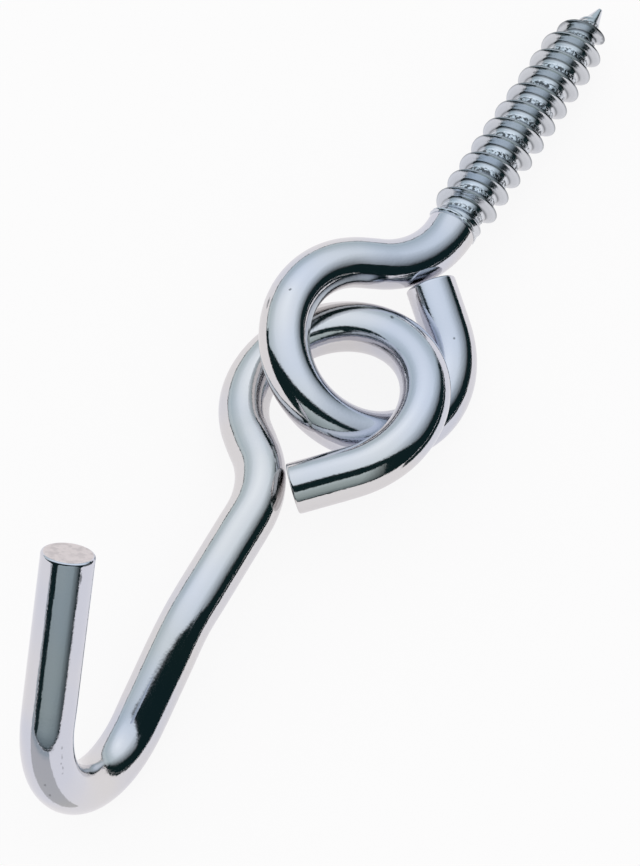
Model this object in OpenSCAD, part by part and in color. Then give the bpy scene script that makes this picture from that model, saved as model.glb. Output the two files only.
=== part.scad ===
// Screw eye and eye hook, two bent wires linked through each other's eyes, lying on a flat surface.
// Millimetres. The origin is on the screw's axis where the thread meets the plain wire.
// +X runs towards the screw's point along the surface and +Z is up.

/* [Wire] */
// diameter of the round wire of both pieces
wire_d = 8; // [7:0.25:9]
// bevel round each cut end
end_bevel = 0.35; // [0.1:0.05:0.8]

/* [Screw thread] */
// height of the thread crest above the wire's own surface
crest_rise = 0.95; // [0.6:0.05:1.2]
// depth of the thread from crest to core
thread_depth = 1.7; // [1.2:0.05:2.2]
// distance between neighbouring crests
thread_pitch = 3.95; // [3.2:0.05:5]
// length from the shoulder to the tip of the point
thread_len = 50.2; // [40:0.5:60]
// length over which the core tapers to the point
point_len = 9.5; // [7:0.5:12]
// length of the bare cone at the tip
bare_point = 2.75; // [2:0.25:4.5]
// radius of the blunt tip
tip_r = 0.4; // [0.2:0.05:0.6]

/* [Eyes] */
// inside diameter of both eyes
eye_d = 20.5; // [19:0.5:24]
// inside radius of the neck bends
neck_r = 11.5; // [9:0.5:14]
// gap between each eye's cut end and its own neck
cut_gap = 0.25; // [0.15:0.05:1]

/* [Screw eye] */
// plain wire between the thread and the neck
shank_len = 1; // [0.5:0.25:6]
// straight run between the neck and the eye
screw_neck_run = 3; // [0.5:0.25:5]
// angle turned by the neck
screw_neck_turn = 53.5; // [49:0.5:58]
// angle turned round the eye
screw_eye_turn = 286; // [278:1:290]

/* [Eye hook] */
// straight run between the neck and the eye
hook_neck_run = 4; // [1:0.25:6]
// angle turned by the neck
hook_neck_turn = 46.5; // [43:0.5:51]
// angle turned round the eye
hook_eye_turn = 277; // [270:1:282]
// straight shank between the neck and the outward set
hook_shank = 17; // [12:0.5:30]
// angle between the plane of the eye and the plane of the hook
hook_twist = 90.5; // [85:0.5:100]
// inside radius of the outward set
set_r = 22; // [12:1:30]
// angle of the outward set
set_turn = 14; // [10:0.5:18]
// straight run between the set and the hook bend
set_run = 13.5; // [6:0.5:18]
// inside diameter of the hook bend
hook_d = 23; // [19:0.5:30]
// angle turned by the hook bend
hook_turn = 141; // [130:1:160]
// straight length of the tip leg
tip_leg = 26.5; // [18:0.5:34]

/* [Link] */
// distance between the two eye centres, as a share of the eye's centreline radius
link_share = 0.75; // [0.7:0.01:0.85]
// clearance that sets how far the two eyes lean apart
link_gap = 0.75; // [0.6:0.05:0.9]
// angle in plan between the two pieces
link_yaw = 2; // [0:0.2:6]

/* [Hidden] */
$fn = 48;
wire_r = wire_d / 2;
eye_cl = eye_d / 2 + wire_r;
neck_cl = neck_r + wire_r;
set_cl = set_r + wire_r;
hook_cl = hook_d / 2 + wire_r;
// the wire thins a little in its bends, and each bend reaches a little way into the straights it joins
bend_thin = 0.06;
bend_wire_r = wire_r - bend_thin;
bend_bite = 0.25;

// thread section
crest_r = wire_r + crest_rise;
core_r = crest_r - thread_depth;
root_in = 1.2;
shoulder_r = 0.97 * wire_r;
run_out = 1.4;
turn_steps = 16;
row_step = thread_pitch / turn_steps;
row_count = ceil((thread_len + root_in) / row_step);
// angle from the crest and share of the thread depth, round one section of the thread
crest_shape = [
    [0, 1],
    [20, 0.93],
    [45, 0.66],
    [75, 0.32],
    [108, 0.06],
    [142, 0],
    [180, 0],
    [218, 0],
    [252, 0.06],
    [285, 0.32],
    [315, 0.66],
    [340, 0.93]
];
shape_n = len(crest_shape);

// eye centre seen from the start of its neck, along the axis and to the side
screw_along = (neck_cl + eye_cl) * sin(screw_neck_turn) + screw_neck_run * cos(screw_neck_turn);
screw_aside = neck_cl - (neck_cl + eye_cl) * cos(screw_neck_turn) + screw_neck_run * sin(screw_neck_turn);
hook_along = (neck_cl + eye_cl) * sin(hook_neck_turn) + hook_neck_run * cos(hook_neck_turn);
hook_aside = neck_cl - (neck_cl + eye_cl) * cos(hook_neck_turn) + hook_neck_run * sin(hook_neck_turn);

// lean of each eye that lets the wires pass over and under each other
link_len = link_share * eye_cl;
pass = 2 * bend_wire_r + link_gap;
half_cos = link_len / (2 * eye_cl);
half_sin = sqrt(1 - half_cos * half_cos);
lean = asin(pass * half_sin / sqrt(pow(2 * eye_cl * half_sin * half_sin, 2) - pow(pass * half_cos, 2)));

// slope of the screw, resting on the low side of its eye and on a crest near the point
crest_reach = screw_along + shank_len + thread_len - point_len;
screw_slope = asin((eye_cl * sin(lean) + bend_wire_r - screw_aside * sin(lean) - crest_r) / crest_reach);
screw_eye_z = eye_cl * sqrt(pow(sin(screw_slope), 2) + pow(sin(lean) * cos(screw_slope), 2)) + bend_wire_r;
// slope of the hook, resting on the low side of its eye and on the back of its bend
bend_drop = (set_cl + hook_cl) * (1 - cos(set_turn)) + set_run * sin(set_turn);
bend_reach = hook_along + hook_shank + (set_cl + hook_cl) * sin(set_turn) + set_run * cos(set_turn);
back_drop = bend_drop * sin(hook_twist - lean);
hook_slope = asin((eye_cl * sin(lean) + hook_aside * sin(lean) - back_drop) / bend_reach);
hook_eye_z = eye_cl * sqrt(pow(sin(hook_slope), 2) + pow(sin(lean) * cos(hook_slope), 2)) + bend_wire_r;

// thread shoulder above the point of the surface under the screw eye's centre
shoulder = [
    screw_aside * sin(lean) * -sin(screw_slope) + (screw_along + shank_len) * cos(screw_slope),
    screw_aside * -cos(lean),
    screw_eye_z - screw_aside * sin(lean) * cos(screw_slope) - (screw_along + shank_len) * sin(screw_slope)
];
hook_centre = [-link_len, 0, hook_eye_z] - shoulder;
zinc = [0.74, 0.76, 0.79];

// straight run from an eye to a cut end that stops short of its own neck
function end_run(along, aside, heading) =
    let (
        corner = [aside, along] + (eye_cl - wire_r) * [cos(heading), -sin(heading)] - [neck_cl, 0],
        reach = corner * [sin(heading), cos(heading)],
        stop = neck_cl + wire_r + cut_gap
    )
    -reach - sqrt(reach * reach - corner * corner + stop * stop);

// radius of the core at a distance from the shoulder
function core_at(z) =
    z < 0 ? shoulder_r :
    z < thread_pitch / 2 ? shoulder_r + (core_r - shoulder_r) * z / (thread_pitch / 2) :
    z < thread_len - point_len ? core_r :
    tip_r + (core_r - tip_r) * max(0, thread_len - z) / point_len;

// share of the thread depth at a distance from the shoulder
function rise_at(z) =
    z < 0 ? 0 :
    z < thread_pitch ? z / thread_pitch :
    max(0, min(1, (thread_len - z - bare_point) / run_out));

// distance of one row of the thread from the shoulder
function row_z(k) = min(thread_len, k * row_step - root_in);

// point of the thread: row, and place in the section
function thread_point(k, i) =
    let (
        z = row_z(k),
        turn = 360 * z / thread_pitch + crest_shape[i][0],
        r = core_at(z) + thread_depth * rise_at(z) * crest_shape[i][1]
    )
    [r * cos(turn), r * sin(turn), z];

// helical thread with a tapered point, growing out of the wire at the shoulder
module thread() {
    points = [
        for (k = [0 : row_count])
            for (i = [0 : shape_n - 1])
                thread_point(k, i)
    ];
    sides = [
        for (k = [0 : row_count - 1])
            for (i = [0 : shape_n - 1])
                for (half = [0, 1])
                    let (
                        j = (i + 1) % shape_n,
                        a = k * shape_n,
                        b = a + shape_n
                    )
                    half == 0 ? [a + i, b + i, b + j] : [a + i, b + j, a + j]
    ];
    first = [for (i = [0 : shape_n - 1]) i];
    last = [for (i = [shape_n - 1 : -1 : 0]) row_count * shape_n + i];
    polyhedron(points = points, faces = concat(sides, [first, last]));
}

// straight run of wire along +Z, with what follows at its far end
module run(length) {
    cylinder(r = wire_r, h = length);
    translate([0, 0, length]) children();
}

// bend of the wire towards +X, with what follows at its far end
module bend(radius, angle) {
    bite = bend_bite / radius * 180 / PI;
    translate([radius, 0, 0])
        rotate([90, 0, 180])
            rotate([0, 0, -bite])
                rotate_extrude(angle = angle + 2 * bite)
                    translate([radius, 0]) circle(r = bend_wire_r);
    translate([radius, 0, 0])
        rotate([0, angle, 0])
            translate([-radius, 0, 0]) children();
}

// bend of the wire towards -X
module bend_back(radius, angle) {
    rotate([0, 0, 180]) bend(radius, angle) rotate([0, 0, 180]) children();
}

// last straight run, with a bevelled cut end
module cut_end(length) {
    run(length - end_bevel)
        cylinder(r1 = wire_r, r2 = wire_r - end_bevel, h = end_bevel);
}

// screw, neck and eye in one wire
module screw_eye() {
    color(zinc)
        rotate([0, screw_slope, 0])
            rotate([lean - 90, 0, 0])
                rotate([0, -90, 0]) {
                    rotate([180, 0, 0]) thread();
                    run(shank_len)
                        bend(neck_cl, screw_neck_turn)
                            run(screw_neck_run)
                                bend_back(eye_cl, screw_eye_turn)
                                    cut_end(end_run(screw_along, screw_aside, screw_neck_turn - screw_eye_turn));
                }
}

// eye, neck, shank and hook in one wire
module eye_hook() {
    color(zinc)
        translate(hook_centre)
            rotate([0, 0, link_yaw])
                rotate([0, -hook_slope, 0])
                    rotate([90 - lean, 0, 0])
                        rotate([0, 90, 0])
                            translate([-hook_aside, 0, -hook_along]) {
                                bend(neck_cl, hook_neck_turn)
                                    run(hook_neck_run)
                                        bend_back(eye_cl, hook_eye_turn)
                                            cut_end(end_run(hook_along, hook_aside, hook_neck_turn - hook_eye_turn));
                                rotate([180, 0, 0])
                                    rotate([0, 0, -hook_twist])
                                        run(hook_shank)
                                            bend_back(set_cl, set_turn)
                                                run(set_run)
                                                    bend(hook_cl, hook_turn)
                                                        cut_end(tip_leg);
                            }
}

screw_eye();
eye_hook();
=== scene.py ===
import math

import bpy
import numpy as np
from mathutils import Matrix, Vector


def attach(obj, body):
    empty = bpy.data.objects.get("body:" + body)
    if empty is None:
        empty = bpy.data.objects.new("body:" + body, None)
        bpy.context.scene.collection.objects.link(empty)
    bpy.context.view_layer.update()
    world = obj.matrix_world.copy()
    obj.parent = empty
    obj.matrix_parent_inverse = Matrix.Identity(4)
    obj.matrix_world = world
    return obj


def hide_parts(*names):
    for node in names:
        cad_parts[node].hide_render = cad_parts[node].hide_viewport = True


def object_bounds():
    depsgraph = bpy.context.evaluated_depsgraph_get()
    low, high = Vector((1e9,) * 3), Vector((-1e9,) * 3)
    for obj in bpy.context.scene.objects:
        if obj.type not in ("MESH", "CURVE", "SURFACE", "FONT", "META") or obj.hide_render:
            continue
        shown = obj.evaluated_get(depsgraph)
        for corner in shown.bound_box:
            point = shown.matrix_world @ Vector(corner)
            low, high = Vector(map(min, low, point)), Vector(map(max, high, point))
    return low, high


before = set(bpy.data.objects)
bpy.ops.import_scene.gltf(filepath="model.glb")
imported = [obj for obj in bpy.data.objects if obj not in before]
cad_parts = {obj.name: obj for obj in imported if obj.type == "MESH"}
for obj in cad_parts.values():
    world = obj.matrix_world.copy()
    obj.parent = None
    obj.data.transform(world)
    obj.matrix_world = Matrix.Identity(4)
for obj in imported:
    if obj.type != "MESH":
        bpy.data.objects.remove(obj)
cadLow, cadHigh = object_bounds()
scene = bpy.context.scene
print("frame loaded, box", [round(v, 4) for v in cadLow], [round(v, 4) for v in cadHigh])


def sinDeg(deg):
    return math.sin(math.radians(deg))


def cosDeg(deg):
    return math.cos(math.radians(deg))


def turnX(deg):
    return np.array([[1, 0, 0], [0, cosDeg(deg), -sinDeg(deg)], [0, sinDeg(deg), cosDeg(deg)]])


def turnY(deg):
    return np.array([[cosDeg(deg), 0, sinDeg(deg)], [0, 1, 0], [-sinDeg(deg), 0, cosDeg(deg)]])


def turnZ(deg):
    return np.array([[cosDeg(deg), -sinDeg(deg), 0], [sinDeg(deg), cosDeg(deg), 0], [0, 0, 1]])


# what both wires share, in millimetres and degrees; bend sizes are to the middle of the wire
wire = {
    "radius": 4.0, "bendThin": 0.06, "eye": 14.25, "neck": 15.5, "cutGap": 0.25,
    "linkShare": 0.75, "linkGap": 0.75, "yaw": 2.0,
    "around": 112, "step": 0.5, "leastRun": 2, "leastBend": 6,  # points round a ring, and spacing of rings
    "softRings": 9,  # rings over which the wire's thickness changes
    "askew": (0.36, 0.48, 0.8),  # any direction across the wire, which sets where the angle round it starts
    "endRound": 0.4, "roundRings": 7, "faceRings": (0.97, 0.7, 0.4, 0.02), "faceFrom": 0.98,  # cut ends
    "tipSawn": 1.0, "eyeSawn": 0.2,  # the hook's tip is cut rough, the eyes' ends are plated over
}
wire["bendRadius"] = wire["radius"] - wire["bendThin"]


def eyeCentre(run, turn):  # seen from the start of the neck
    reach = wire["neck"] + wire["eye"]
    along = reach * sinDeg(turn) + run * cosDeg(turn)
    aside = wire["neck"] - reach * cosDeg(turn) + run * sinDeg(turn)
    return along, aside


def endRun(along, aside, heading):  # straight run up to the cut end, which stops short of its own neck
    inner = wire["eye"] - wire["radius"]
    corner = np.array([aside + inner * cosDeg(heading) - wire["neck"], along - inner * sinDeg(heading)])
    reach = corner @ np.array([sinDeg(heading), cosDeg(heading)])
    stop = wire["neck"] + wire["radius"] + wire["cutGap"]
    return -reach - math.sqrt(reach * reach - corner @ corner + stop * stop)


def bentLine(moves):  # centreline of a bent wire from the origin along +Z: points, directions, wire radius
    point, ahead, side = np.zeros(3), np.array([0.0, 0, 1]), np.array([1.0, 0, 0])
    points, aheads, radii = [point], [ahead], [wire["radius"]]
    for size, angle in moves:
        if angle == 0:  # a straight run
            count = max(wire["leastRun"], math.ceil(size / wire["step"]))
            points += [point + ahead * size * i / count for i in range(1, count + 1)]
            aheads += [ahead] * count
            radii += [wire["radius"]] * count
            point = points[-1]
            continue
        hand = math.copysign(1, angle)
        turn = math.radians(abs(angle))
        count = max(wire["leastBend"], math.ceil(size * turn / wire["step"]))
        for i in range(1, count + 1):
            c, s = math.cos(turn * i / count), math.sin(turn * i / count)
            points.append(point + size * (ahead * s + hand * side * (1 - c)))
            aheads.append(ahead * c + hand * side * s)
            radii.append(wire["bendRadius"])
        c, s = math.cos(turn), math.sin(turn)
        point, ahead, side = points[-1], aheads[-1], side * c - hand * ahead * s
    return np.array(points), np.array(aheads), np.array(radii)


def gridFaces(rows, around):  # sides between closed rings, and a face over each end
    grid = np.arange(rows * around).reshape(rows, around)
    nextOne = np.roll(grid, -1, axis=1)
    sides = np.stack([grid[:-1], nextOne[:-1], nextOne[1:], grid[1:]], -1).reshape(-1, 4).tolist()
    return sides + [grid[0, ::-1].tolist(), grid[-1].tolist()]


def tubeMesh(points, aheads, radii, bothCut):  # wire with a rounded edge and a flat face at each cut end
    length = np.concatenate([[0], np.cumsum(np.linalg.norm(np.diff(points, axis=0), axis=1))])
    span = wire["softRings"]
    soft = np.convolve(np.pad(radii, span // 2, mode="edge"), np.ones(span) / span, mode="valid")
    edge = wire["endRound"]
    last = len(points) - 1
    # rings of a cut end, as distance back from the face and radius
    arc = np.linspace(0, math.pi / 2, wire["roundRings"])
    cut = [(edge * (1 - math.sin(a)), soft[-1] - edge * (1 - math.cos(a))) for a in arc]
    cut += [(0.0, (soft[-1] - edge) * share) for share in wire["faceRings"]]
    rings = [(i, 0.0, soft[i]) for i in range(last + 1)
             if length[-1] - length[i] > edge and not (bothCut and length[i] <= edge)]
    if bothCut:
        rings = [(0, back, radius) for back, radius in reversed(cut)] + rings
    rings += [(last, -back, radius) for back, radius in cut]
    angle = np.linspace(0, 2 * math.pi, wire["around"], endpoint=False)
    side = np.cross(aheads[0], wire["askew"])
    verts, along, around, sawn = [], [], [], []
    for i, shift, radius in rings:
        side = side - aheads[i] * (side @ aheads[i])  # carried along the wire without twisting
        side = side / np.linalg.norm(side)
        up = np.cross(aheads[i], side)
        spokes = np.cos(angle)[:, None] * side + np.sin(angle)[:, None] * up
        verts.append(points[i] + aheads[i] * shift + radius * spokes)
        along.append(np.full(len(angle), length[i] + shift))
        around.append(angle)
        onFace = radius < soft[i] - wire["faceFrom"] * edge
        rough = wire["tipSawn"] if i == 0 else wire["eyeSawn"]
        sawn.append(np.full(len(angle), rough if onFace else 0.0))
    marks = {"along": np.concatenate(along), "around": np.concatenate(around), "sawn": np.concatenate(sawn)}
    return np.concatenate(verts), gridFaces(len(rings), len(angle)), marks


def addObject(name, verts, faces, marks):
    mesh = bpy.data.meshes.new(name)
    mesh.from_pydata((verts / 1000).tolist(), [], faces)  # millimetres to metres
    for key, values in marks.items():
        mesh.attributes.new(key, "FLOAT", "POINT").data.foreach_set("value", np.asarray(values, np.float32))
    mesh.shade_smooth()
    mesh.validate()
    made = bpy.data.objects.new(name, mesh)
    scene.collection.objects.link(made)
    return made


# lean of the two eyes, at which the wires pass over and under each other
linkLength = wire["linkShare"] * wire["eye"]
passing = 2 * wire["bendRadius"] + wire["linkGap"]
halfCos = wire["linkShare"] / 2
halfSin = math.sqrt(1 - halfCos**2)
leanSin = passing * halfSin / math.sqrt((2 * wire["eye"] * halfSin**2) ** 2 - (passing * halfCos) ** 2)
lean = math.degrees(math.asin(leanSin))


def restHeight(slope):  # eye centre above the floor
    return wire["eye"] * math.hypot(sinDeg(slope), leanSin * cosDeg(slope)) + wire["bendRadius"]


# screw eye: thread, short shank, neck and eye
screw = {
    "crest": 4.95, "core": 3.42, "pitch": 3.95, "length": 50.2, "point": 9.5, "bare": 2.75, "tip": 0.4,
    "rootIn": 1.2, "shoulder": 3.88, "runOut": 1.4, "flankSlope": 1.9, "crestBend": 0.3, "rootBend": 0.6,
    "shank": 1.0, "neckRun": 3.0, "neckTurn": 53.5, "eyeTurn": 286.0, "around": 84, "rowsPerTurn": 60,
    "seed": 11, "draws": 2400, "drawWrap": 2300,  # random heights behind the ragged marks
    # marks of rolling, and the width of the painted shade under the crest's fold; a band is its distance from
    # the crest and its width
    "fold": 0.03, "foldWidth": 0.05, "foldShade": 0.15,
    "ripple": 0.012, "rippleStep": 0.048, "rippleBand": (0.55, 0.35),
    "rag": 0.05, "ragRate": 9.0, "ragBand": (2.25, 0.5), "scuff": 0.6, "scuffMore": 0.4,
    # ragged lip at the shoulder; its band is along the axis
    "lip": 0.3, "lipBand": (0.3, 0.25), "burr": 0.4, "burrRate": 6,
    # painted shade in the root corner and on the flank, and dark streaks on the last turns
    "cornerBand": (1.0, 0.17), "flankShade": 0.22, "flankBand": (0.6, 0.3),
    "pointStreaks": 0.8, "pointStreaksFrom": 41.0, "pointStreaksOver": 3.0, "streakRate": 7.0, "streakWander": 0.4,
}
screwAlong, screwAside = eyeCentre(screw["neckRun"], screw["neckTurn"])
screwFall = (wire["eye"] - screwAside) * leanSin + wire["bendRadius"] - screw["crest"]
screwReach = screwAlong + screw["shank"] + screw["length"] - screw["point"]
screwSlope = math.degrees(math.asin(screwFall / screwReach))
screwFrame = turnY(screwSlope) @ turnX(lean - 90) @ turnY(-90)
eyeFromShoulder = screwFrame @ np.array([screwAside, 0, screwAlong + screw["shank"]])
shoulder = np.array([0, 0, restHeight(screwSlope)]) - eyeFromShoulder


def hump(place, middle, width):  # 1 at the middle, dying away on both sides
    return np.exp(-(((place - middle) / width) ** 2))


def threadMesh():  # sections that turn with the pitch: a folded crest, straight flanks and a ragged root, with painted shade kept in an attribute
    rag = np.random.default_rng(screw["seed"]).normal(size=screw["draws"])
    draw = np.arange(screw["draws"])
    phase = np.linspace(-math.pi, math.pi, screw["around"], endpoint=False)
    away = np.abs(phase) / (2 * math.pi) * screw["pitch"]  # distance from the crest along the axis
    behind = np.where(phase > 0, away, screw["pitch"] - away)  # distance from the crest towards the shank
    depth = screw["crest"] - screw["core"]
    slope, over, under = screw["flankSlope"], screw["crestBend"], screw["rootBend"]
    foot = depth / slope + (over + under) / 2
    shape = np.select([away < over, away < foot - under, away < foot],
                      [depth - slope * away**2 / (2 * over), depth - slope * (away - over / 2),
                       slope * (foot - away) ** 2 / (2 * under)], 0.0) / depth
    fold = screw["fold"] * hump(away, 0, screw["foldWidth"])
    ripple = screw["ripple"] * np.sin(away / screw["rippleStep"]) * hump(away, *screw["rippleBand"])
    scored = hump(behind, *screw["ragBand"])
    # painted shade: darker under the crest's fold, in the root corner and on the flank that faces the shank
    dark = hump(away, 0, screw["foldShade"]) + hump(behind, *screw["cornerBand"])
    dark = dark + screw["flankShade"] * hump(behind, *screw["flankBand"])
    rows = int((screw["length"] + screw["rootIn"]) / screw["pitch"] * screw["rowsPerTurn"])
    verts, along, around, scuff, shadeAndStreaks = [], [], [], [], []
    for z in np.linspace(-screw["rootIn"], screw["length"], rows + 1):
        if z < screw["length"] - screw["point"]:
            ease = min(1, max(0, z) / (screw["pitch"] / 2))
            core = screw["shoulder"] + (screw["core"] - screw["shoulder"]) * ease
        else:
            core = screw["tip"] + (screw["core"] - screw["tip"]) * (screw["length"] - z) / screw["point"]
        ending = max(0, (screw["length"] - z - screw["bare"]) / screw["runOut"])
        rise = min(1, max(0, z) / screw["pitch"], ending)
        angle = phase + 2 * math.pi * z / screw["pitch"]
        chatter = np.interp((angle * screw["ragRate"]) % screw["drawWrap"], draw, rag)
        bump = rise * rise * (screw["rag"] * chatter * scored - fold + ripple)
        burr = 1 + screw["burr"] * np.interp(np.mod(angle, 2 * math.pi) * screw["burrRate"], draw, rag)
        lip = screw["lip"] * hump(z, *screw["lipBand"]) * burr
        radius = core + depth * rise * shape + bump + lip
        verts.append(np.stack([radius * np.cos(angle), -radius * np.sin(angle), np.full(len(angle), -z)], -1))
        along.append(np.full(len(angle), -z))
        around.append(angle)
        scuff.append(screw["scuff"] + screw["scuffMore"] * rise * scored)
        # dark streaks on the last turns towards the point, added to the painted shade
        pointStreaks = screw["pointStreaks"] * min(1, max(0, (z - screw["pointStreaksFrom"]) / screw["pointStreaksOver"]))
        wander = behind * screw["streakRate"] + screw["streakWander"] * chatter
        shadeAndStreaks.append(rise * (dark + pointStreaks * np.clip(np.sin(wander), 0, 1)))
    faces = [f[::-1] for f in gridFaces(rows + 1, screw["around"])]
    marks = {"along": np.concatenate(along), "around": np.concatenate(around), "scuff": np.concatenate(scuff),
             "shadeAndStreaks": np.concatenate(shadeAndStreaks)}
    return np.concatenate(verts), faces, marks


screwMoves = [(screw["shank"], 0), (wire["neck"], screw["neckTurn"]), (screw["neckRun"], 0),
              (wire["eye"], -screw["eyeTurn"]),
              (endRun(screwAlong, screwAside, screw["neckTurn"] - screw["eyeTurn"]), 0)]
ring, ringFaces, ringMarks = tubeMesh(*bentLine(screwMoves), False)
thread, threadFaces, threadMarks = threadMesh()
screwMarks = {}
for key in ("along", "around", "sawn", "scuff", "shadeAndStreaks"):
    screwMarks[key] = np.concatenate([ringMarks.get(key, np.zeros(len(ring))),
                                      threadMarks.get(key, np.zeros(len(thread)))])
screwEye = addObject("screwEye", np.concatenate([ring, thread]) @ screwFrame.T,
                     ringFaces + [[i + len(ring) for i in f] for f in threadFaces], screwMarks)
print("screw eye", len(screwEye.data.polygons), "faces")

# eye hook: eye, neck, shank with an outward set, hook bend and tip leg
hook = {
    "neckRun": 4.0, "neckTurn": 46.5, "eyeTurn": 277.0, "shank": 17.0, "twist": 90.5, "set": 26.0,
    "setTurn": 14.0, "setRun": 13.5, "bend": 15.5, "bendTurn": 141.0, "tipLeg": 26.5,
}
hookAlong, hookAside = eyeCentre(hook["neckRun"], hook["neckTurn"])
bends = hook["set"] + hook["bend"]
backDrop = bends * (1 - cosDeg(hook["setTurn"])) + hook["setRun"] * sinDeg(hook["setTurn"])
backReach = bends * sinDeg(hook["setTurn"]) + hook["setRun"] * cosDeg(hook["setTurn"])
hookFall = (wire["eye"] + hookAside) * leanSin - backDrop * sinDeg(hook["twist"] - lean)
hookSlope = math.degrees(math.asin(hookFall / (hookAlong + hook["shank"] + backReach)))
hookFrame = turnZ(wire["yaw"]) @ turnY(-hookSlope) @ turnX(90 - lean) @ turnY(90)
hookCentre = np.array([-linkLength, 0, restHeight(hookSlope)]) - shoulder
eyeMoves = [(wire["neck"], hook["neckTurn"]), (hook["neckRun"], 0), (wire["eye"], -hook["eyeTurn"]),
            (endRun(hookAlong, hookAside, hook["neckTurn"] - hook["eyeTurn"]), 0)]
legMoves = [(hook["shank"], 0), (hook["set"], -hook["setTurn"]), (hook["setRun"], 0),
            (hook["bend"], hook["bendTurn"]), (hook["tipLeg"], 0)]
eyePoints, eyeAheads, eyeRadii = bentLine(eyeMoves)
legPoints, legAheads, legRadii = bentLine(legMoves)
legFrame = turnX(180) @ turnZ(-hook["twist"])
# one line from the hook's tip to the cut end of the eye
hookPoints = np.concatenate([legPoints[::-1] @ legFrame.T, eyePoints[1:]])
hookAheads = np.concatenate([-legAheads[::-1] @ legFrame.T, eyeAheads[1:]])
hookRadii = np.concatenate([legRadii[::-1], eyeRadii[1:]])
hookVerts, hookFaces, hookMarks = tubeMesh(hookPoints, hookAheads, hookRadii, True)
hookVerts = (hookVerts - np.array([hookAside, 0, hookAlong])) @ hookFrame.T + hookCentre
eyeHook = addObject("eyeHook", hookVerts, hookFaces, hookMarks)
print("eye hook", len(eyeHook.data.polygons), "faces")

for made, nodeName, body, slotName in ((screwEye, "screw_eye", "screw", "zinc_screw"),
                                       (eyeHook, "eye_hook", "hook", "zinc_hook")):
    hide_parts(nodeName)
    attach(made, body)


def newTree(material):
    material.use_nodes = True
    material.node_tree.nodes.clear()
    return material.node_tree


def addNode(tree, kind, inputs, **settings):  # new node, with plain values set and sockets linked
    made = tree.nodes.new("ShaderNode" + kind)
    for key, value in settings.items():
        setattr(made, key, value)
    for key, value in inputs.items():
        if isinstance(value, bpy.types.NodeSocket):
            tree.links.new(value, made.inputs[key])
        else:
            made.inputs[key].default_value = value
    return made


def addMath(tree, operation, *values, **settings):
    return addNode(tree, "Math", dict(enumerate(values)), operation=operation, **settings).outputs[0]


def addRange(tree, value, span, low=0.0, high=1.0):  # from the low to the high result over the span
    return addNode(tree, "MapRange", {"Value": value, "From Min": span[0], "From Max": span[1],
                                      "To Min": low, "To Max": high}).outputs[0]


def addNoise(tree, place, size):  # size is the scale and the detail
    return addNode(tree, "TexNoise", {"Vector": place, "Scale": size[0], "Detail": size[1]}).outputs["Fac"]


def addBlend(tree, share, first, second):  # 6, 7 and 2 are the colour sockets
    return addNode(tree, "Mix", {"Factor": share, 6: first, 7: second}, data_type="RGBA").outputs[2]


def addRamp(tree, factor, stops):
    made = addNode(tree, "ValToRGB", {"Fac": factor})
    while len(made.color_ramp.elements) < len(stops):
        made.color_ramp.elements.new(0.5)
    for element, (place, colour) in zip(made.color_ramp.elements, stops):
        element.position = place
        element.color = (*colour, 1)
    return made.outputs["Color"]


# bright zinc: a cool tint that drifts, drawn streaks along the wire, fine grain and a few pits
zinc = {
    "tint": [(0.40, (0.61, 0.63, 0.70)), (0.50, (0.66, 0.66, 0.69)), (0.60, (0.685, 0.675, 0.675))],
    "face": [(0.38, (0.58, 0.54, 0.54)), (0.55, (0.70, 0.65, 0.645))],
    "rubbed": (0.67, 0.72, 0.77), "pit": (0.10, 0.11, 0.12),
    # noise, as scale and detail
    "drift": (42, 2), "streak": (11, 4), "grain": (2600, 2), "speck": (900, 3), "score": (1.35, 3),
    "streakStretch": 0.035, "rollTurn": 4.5, "rollStep": 1.2,
    # pits, flaws and the ticks that rolling leaves on the thread
    "pitCells": 120, "pitChance": 0.86, "pitReach": (0.012, 0.035), "flawReach": (0.95, 1.4),
    "flawGrain": 1.6, "tickDepth": (0.49, 0.54), "tickPlace": (0.68, 0.85), "shadeAndStreaksWeight": 0.75,
    # roughness over the streaks, and what scuffs and cut faces add to it
    "streakSpan": (0.35, 0.75), "rough": (0.055, 0.12), "scuffRough": 0.12, "faceRough": 0.22,
    # bumps, as strength and height in metres
    "grainBump": (0.075, 0.0001), "rollingBump": (0.6, 0.0003), "streakBump": (0.06, 0.00012),
}
# pits, nicks and scratches: distance along the wire, angle round it, half length, half width and strength
screwFlaws = [(34.0, 2.716, 0.24, 0.22, 0.85), (36.2, 3.507, 0.8, 0.25, 0.8), (56.0, 3.224, 0.6, 0.2, 0.8)]
hookFlaws = [(154.8, 5.193, 0.36, 0.36, 0.9), (2.3, 1.28, 0.9, 0.2, 0.8), (28.9, 1.216, 0.25, 0.2, 0.45),
             (30.3, 1.207, 0.45, 0.16, 0.4), (31.4, 1.26, 0.2, 0.15, 0.4), (32.3, 1.205, 0.4, 0.14, 0.45),
             (33.2, 1.25, 0.2, 0.2, 0.3), (34.5, 1.988, 0.25, 0.2, 0.4), (36.6, 1.934, 0.3, 0.2, 0.45)]


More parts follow.
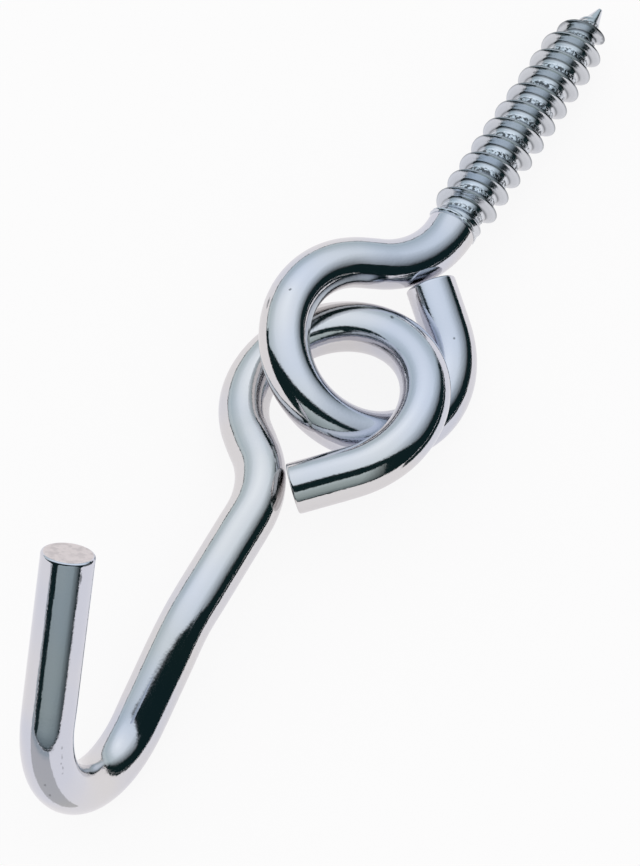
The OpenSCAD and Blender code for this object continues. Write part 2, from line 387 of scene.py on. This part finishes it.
def zincMaterial(name, flaws):
    material = bpy.data.materials.new(name)
    tree = newTree(material)
    place = addNode(tree, "TexCoord", {}).outputs["Object"]
    along, around, scuff, sawn, shadeAndStreaks = (addNode(tree, "Attribute", {}, attribute_name=key).outputs["Fac"]
                                        for key in ("along", "around", "scuff", "sawn", "shadeAndStreaks"))
    grain = addNoise(tree, place, zinc["grain"])
    # streaks that are drawn out along the wire
    roundX = addMath(tree, "COSINE", around)
    roundY = addMath(tree, "SINE", around)
    drawnOut = addMath(tree, "MULTIPLY", along, zinc["streakStretch"])
    wrapped = addNode(tree, "CombineXYZ", {"X": roundX, "Y": roundY, "Z": drawnOut}).outputs[0]
    streak = addNoise(tree, wrapped, zinc["streak"])
    # small pits here and there, and the flaws in their places
    cells = addNode(tree, "TexVoronoi", {"Vector": place, "Scale": zinc["pitCells"]})
    chance = addNode(tree, "SeparateColor", {"Color": cells.outputs["Color"]}).outputs["Red"]
    few = addMath(tree, "GREATER_THAN", chance, zinc["pitChance"])
    near = addRange(tree, cells.outputs["Distance"], zinc["pitReach"], 1.0, 0.0)
    pit = addMath(tree, "MULTIPLY", few, near)
    for start, side, halfLength, halfWidth, strength in flaws:
        ahead = addMath(tree, "SUBTRACT", along, start)
        aside = addMath(tree, "SUBTRACT", around, side)
        spread = addNode(tree, "CombineXYZ", {"X": ahead, "Y": aside, "Z": grain}).outputs[0]
        scale = (1 / halfLength, wire["radius"] / halfWidth, zinc["flawGrain"])
        scaled = addNode(tree, "VectorMath", {0: spread, 1: scale}, operation="MULTIPLY").outputs[0]
        far = addNode(tree, "VectorMath", {0: scaled}, operation="LENGTH").outputs["Value"]
        flaw = addRange(tree, far, zinc["flawReach"], strength, 0.0)
        pit = addMath(tree, "MAXIMUM", pit, flaw)
    # rolling marks, which stand in the scuffed root of the thread
    turn = addMath(tree, "MULTIPLY", around, zinc["rollTurn"])
    step = addMath(tree, "MULTIPLY", along, zinc["rollStep"])
    rolled = addNode(tree, "CombineXYZ", {"X": turn, "Y": step}).outputs[0]
    score = addNoise(tree, rolled, zinc["score"])
    deep = addRange(tree, score, zinc["tickDepth"])
    where = addRange(tree, scuff, zinc["tickPlace"])
    tick = addMath(tree, "MULTIPLY", deep, where)
    rolling = addMath(tree, "MULTIPLY", score, where)
    # colour: plating, cut faces, rubbed thread, then the thread's painted shade and streaks and all dark
    # marks
    tint = addRamp(tree, addNoise(tree, place, zinc["drift"]), zinc["tint"])
    face = addRamp(tree, addNoise(tree, place, zinc["speck"]), zinc["face"])
    plated = addBlend(tree, sawn, tint, face)
    rubbed = addBlend(tree, scuff, plated, (*zinc["rubbed"], 1))
    # painted shade of the thread's creases and flank, with its streaks and the rolling ticks
    shaded = addMath(tree, "MULTIPLY_ADD", shadeAndStreaks, zinc["shadeAndStreaksWeight"], tick, use_clamp=True)
    marked = addMath(tree, "MAXIMUM", shaded, pit)
    colour = addBlend(tree, marked, rubbed, (*zinc["pit"], 1))
    dull = addRange(tree, streak, zinc["streakSpan"], *zinc["rough"])
    worn = addMath(tree, "MULTIPLY_ADD", scuff, zinc["scuffRough"], dull)
    rough = addMath(tree, "MULTIPLY_ADD", sawn, zinc["faceRough"], worn)
    surface = {"Base Color": colour, "Roughness": rough, "Metallic": 1.0}
    normal = {}  # each bump lies over the one before
    for height, key in ((grain, "grainBump"), (rolling, "rollingBump"), (streak, "streakBump")):
        strength, rise = zinc[key]
        made = addNode(tree, "Bump", {"Height": height, "Strength": strength, "Distance": rise, **normal})
        normal = {"Normal": made.outputs[0]}
    shader = addNode(tree, "BsdfPrincipled", {**surface, **normal})
    addNode(tree, "OutputMaterial", {"Surface": shader.outputs[0]})
    return material


screwEye.data.materials.append(zincMaterial("screwZinc", screwFlaws))
eyeHook.data.materials.append(zincMaterial("hookZinc", hookFlaws))
print("zinc on both pieces")

# pale floor, mostly white to the camera and to the metal, with the object's shadow kept
paper = {
    "colour": (0.975, 0.973, 0.975), "plainShare": 0.9, "inMetal": (0.985, 0.958, 0.98), "metalShare": 0.72,
    "half": 2.0, "corners": [(-1, -1), (1, -1), (1, 1), (-1, 1)],
}


def paperMaterial():
    material = bpy.data.materials.new("paper")
    tree = newTree(material)
    lit = addNode(tree, "BsdfDiffuse", {"Color": (*paper["colour"], 1)}).outputs[0]
    path = addNode(tree, "LightPath", {})
    for ray, colour, share in (("Is Camera Ray", paper["colour"], paper["plainShare"]),
                               ("Is Transmission Ray", paper["colour"], paper["plainShare"]),
                               ("Is Glossy Ray", paper["inMetal"], paper["metalShare"])):
        plain = addNode(tree, "Emission", {"Color": (*colour, 1), "Strength": 1.0}).outputs[0]
        seen = addMath(tree, "MULTIPLY", path.outputs[ray], share)
        lit = addNode(tree, "MixShader", {0: seen, 1: lit, 2: plain}).outputs[0]
    addNode(tree, "OutputMaterial", {"Surface": lit})
    return material


def addStage(name, verts, faces, material):
    mesh = bpy.data.meshes.new(name)
    mesh.from_pydata(verts, [], faces)
    mesh.materials.append(material)
    made = bpy.data.objects.new(name, mesh)
    scene.collection.objects.link(made)
    return made


floorCorners = [(x * paper["half"], y * paper["half"], cadLow.z) for x, y in paper["corners"]]
addStage("floor", floorCorners, [[0, 1, 2, 3]], paperMaterial())
world = bpy.data.worlds.new("room")
scene.world = world
world.use_nodes = True
world.node_tree.nodes["Background"].inputs["Color"].default_value = (1, 1, 1, 1)
world.cycles_visibility.glossy = False  # the metal sees the cards below in place of the room
leastGlow = 0.015  # what is left of a card past its soft edges
floorSkin = cadLow.z + 0.0004  # height of the cards that lie on the floor


def addFade(tree, place, direction, low, high):  # 0 up to the low reach that way, 1 from the high one
    reach = addNode(tree, "VectorMath", {0: place, 1: direction}, operation="DOT_PRODUCT").outputs["Value"]
    return addRange(tree, reach, (low, high))


def glowMaterial(name, card):
    # glow that changes away from a spot or up the card, and dies away towards soft edges
    material = bpy.data.materials.new(name)
    tree = newTree(material)
    place = addNode(tree, "TexCoord", {}).outputs["Object"]
    if "spot" in card:
        apart = addNode(tree, "VectorMath", {0: place, 1: card["spot"]}, operation="DISTANCE")
        factor = addMath(tree, "DIVIDE", apart.outputs["Value"], card["spread"])
    else:
        factor = addFade(tree, place, (0, 0, 1), *card["rise"])
    strength = 1.0
    for direction, low, high in card.get("fades", []):
        strength = addMath(tree, "MULTIPLY", addFade(tree, place, direction, low, high), strength)
        strength = addMath(tree, "MAXIMUM", strength, leastGlow)
    colour = addRamp(tree, factor, card["stops"])
    glow = addNode(tree, "Emission", {"Color": colour, "Strength": strength}).outputs[0]
    addNode(tree, "OutputMaterial", {"Surface": glow})
    return material


def addCard(name, verts, faces, card):  # seen by the metal alone
    made = addStage(name, verts, faces, glowMaterial(name + "Glow", card))
    made.visible_camera = False
    made.visible_diffuse = False
    made.visible_shadow = False


def flatCard(name, card):  # level card, over the object or just above the floor
    verts = [(x, y, card["height"]) for x, y in card["outline"]]
    addCard(name, verts, [list(range(len(verts)))], card)


def standingCard(name, card):  # card that stands along a line
    low, high = card["stand"]
    count = len(card["line"])
    verts = [(x, y, low) for x, y in card["line"]] + [(x, y, high) for x, y in card["line"]]
    addCard(name, verts, [[i, i + 1, count + i + 1, count + i] for i in range(count - 1)], card)


# wide diffuser close over the object, with soft edges towards the camera
diffuser = {
    "height": 0.1, "outline": [(-0.22, 0.42), (-0.099, 0.004), (0.012, -0.18), (0.45, -0.18), (0.45, 0.42)],
    "spot": (0.007, 0.044, 0.1), "spread": 0.35,
    "stops": [(0.0, (1.08, 1.16, 1.23)), (0.14, (0.95, 1.03, 1.11)), (0.25, (0.86, 0.95, 1.03)),
              (0.36, (0.72, 0.81, 0.88)), (0.5, (0.65, 0.74, 0.80)), (1.0, (0.54, 0.64, 0.69))],
    "fades": [((0, 1, 0), -0.18, -0.03), ((0.96, 0.28, 0), -0.094, -0.082),
              ((0.855, 0.516, 0), -0.083, -0.073)],
}
flatCard("diffuser", diffuser)
# pale sheets that stand behind, low down
backCard = {
    "line": [(0.75, -0.16), (0.85, 0.3), (0.6, 0.75), (0.1, 0.9), (-0.2, 0.87)], "stand": (0.03, 0.32),
    "rise": (0.03, 0.32), "stops": [(0.0, (0.58, 0.66, 0.69)), (1.0, (0.66, 0.77, 0.83))],
    "fades": [((0.5, 1, 0), 0.14, 0.4)],
}
standingCard("backCard", backCard)
# grey wall on the camera's side, and its foot on the floor
greyWall = {
    "line": [(-0.62, 0.09), (-0.45, -0.12), (-0.3, -0.25), (-0.2, -0.33)], "stand": (0.03, 0.38),
    "rise": (0.03, 0.38),
    "stops": [(0.0, (0.17, 0.21, 0.22)), (0.25, (0.34, 0.405, 0.41)), (1.0, (0.54, 0.62, 0.635))],
    "fades": [((-1, 0, 0), 0.16, 0.30)],
}
standingCard("greyWall", greyWall)
greyFoot = {
    "height": floorSkin,
    "outline": [(-0.118, -0.011), (-0.23, 0.07), (-1.2, 0.77), (-1.2, -0.88), (-0.21, -0.085)],
    "spot": (-0.118, -0.011, floorSkin), "spread": 0.4,
    "stops": [(0.0, (0.60, 0.59, 0.58)), (0.3, (0.59, 0.58, 0.58)), (0.8, (0.40, 0.45, 0.48))],
}
flatCard("greyFoot", greyFoot)
# dark flag on the floor at the right, and the dark room
darkGlow = {"rise": (0, 1), "stops": [(0.0, (0.007, 0.019, 0.021)), (1.0, (0.007, 0.019, 0.021))]}
flagOutline = [(-0.05, -0.06), (-0.1, -0.6), (0.7, -0.6), (0.5, -0.09)]
flatCard("rightFlag", {"height": floorSkin, "outline": flagOutline, **darkGlow})
room = {"reach": 2.0, "top": 3.0, "step": 15}
roomLine = [(room["reach"] * cosDeg(a), room["reach"] * sinDeg(a)) for a in range(0, 361, room["step"])]
standingCard("darkRoom", {"line": roomLine, "stand": (cadLow.z, room["top"]), **darkGlow})
flatCard("darkCeiling", {"height": room["top"], "outline": roomLine[:-1], **darkGlow})
print("floor, room and cards")

# camera high over the hook's end
view = {
    "target": (-0.0426649, -0.000464, 0.0), "azimuth": -70.8289, "elevation": 62.514, "roll": 12.1271,
    "distance": 0.7766493, "focal": 5048.0616, "pixels": 866, "sensor": 36.0,
}
level = Vector((cosDeg(view["azimuth"]), sinDeg(view["azimuth"]), 0))
outward = Vector((sinDeg(view["azimuth"]), -cosDeg(view["azimuth"]), 0))
back = outward * cosDeg(view["elevation"]) + Vector((0, 0, sinDeg(view["elevation"])))
upright = back.cross(level)
right = level * cosDeg(view["roll"]) + upright * sinDeg(view["roll"])
up = upright * cosDeg(view["roll"]) - level * sinDeg(view["roll"])
cameraData = bpy.data.cameras.new("camera")
cameraData.sensor_width = view["sensor"]
cameraData.lens = view["focal"] * view["sensor"] / view["pixels"]
cameraData.dof.use_dof = False
camera = bpy.data.objects.new("camera", cameraData)
placed = Matrix((right, up, back)).transposed().to_4x4()
placed.translation = Vector(view["target"]) + back * view["distance"]
camera.matrix_world = placed
scene.collection.objects.link(camera)
scene.camera = camera
scene.view_settings.view_transform = "Standard"
